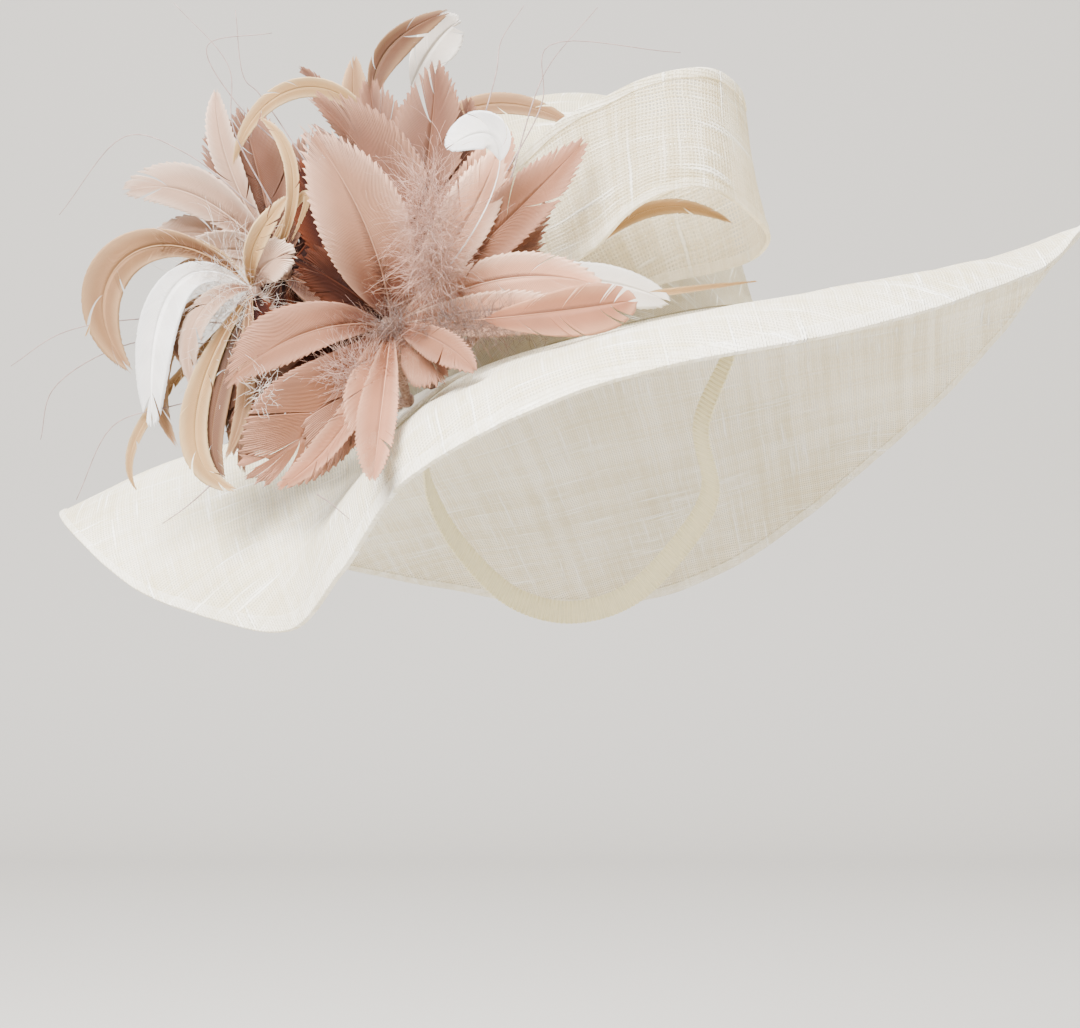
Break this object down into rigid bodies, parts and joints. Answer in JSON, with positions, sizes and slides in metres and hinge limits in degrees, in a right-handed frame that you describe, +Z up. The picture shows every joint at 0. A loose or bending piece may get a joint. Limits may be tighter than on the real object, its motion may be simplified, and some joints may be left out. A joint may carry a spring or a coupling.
{
  "type": "sinamay hat",
  "caption": "Wide-brimmed ivory sinamay hat with a swept brim, a folded bow loop, a spray of dusty rose and cream feathers, and a soft nape strap.",
  "frame": {"origin": "centre of the head opening, on the level where the brim leaves the crown", "axes": "+Z up as worn, -Y towards the wearer's face, +X towards the raised side of the brim, which is the wearer's left"},
  "size_m": [0.4942, 0.4862, 0.2807],
  "materials": {
    "sinamay": "matte",
    "headband_ribbon": "satin",
    "strap_elastic": "matte",
    "base_felt": "matte",
    "rose_feather": "satin",
    "rust_feather": "satin",
    "tan_feather": "satin",
    "cream_feather": "satin"
  },
  "bodies": {
    "root": {"crown": "sinamay", "brim": "sinamay", "bow_loop": "sinamay", "headband": "headband_ribbon", "nape_strap": "strap_elastic", "feather_base": "base_felt", "feather_flower_right": "rose_feather", "feather_flower_left": "rust_feather", "upright_plumes": "tan_feather", "hackle_plume": "cream_feather", "drooping_plumes": "cream_feather"}
  },
  "joints": []
}
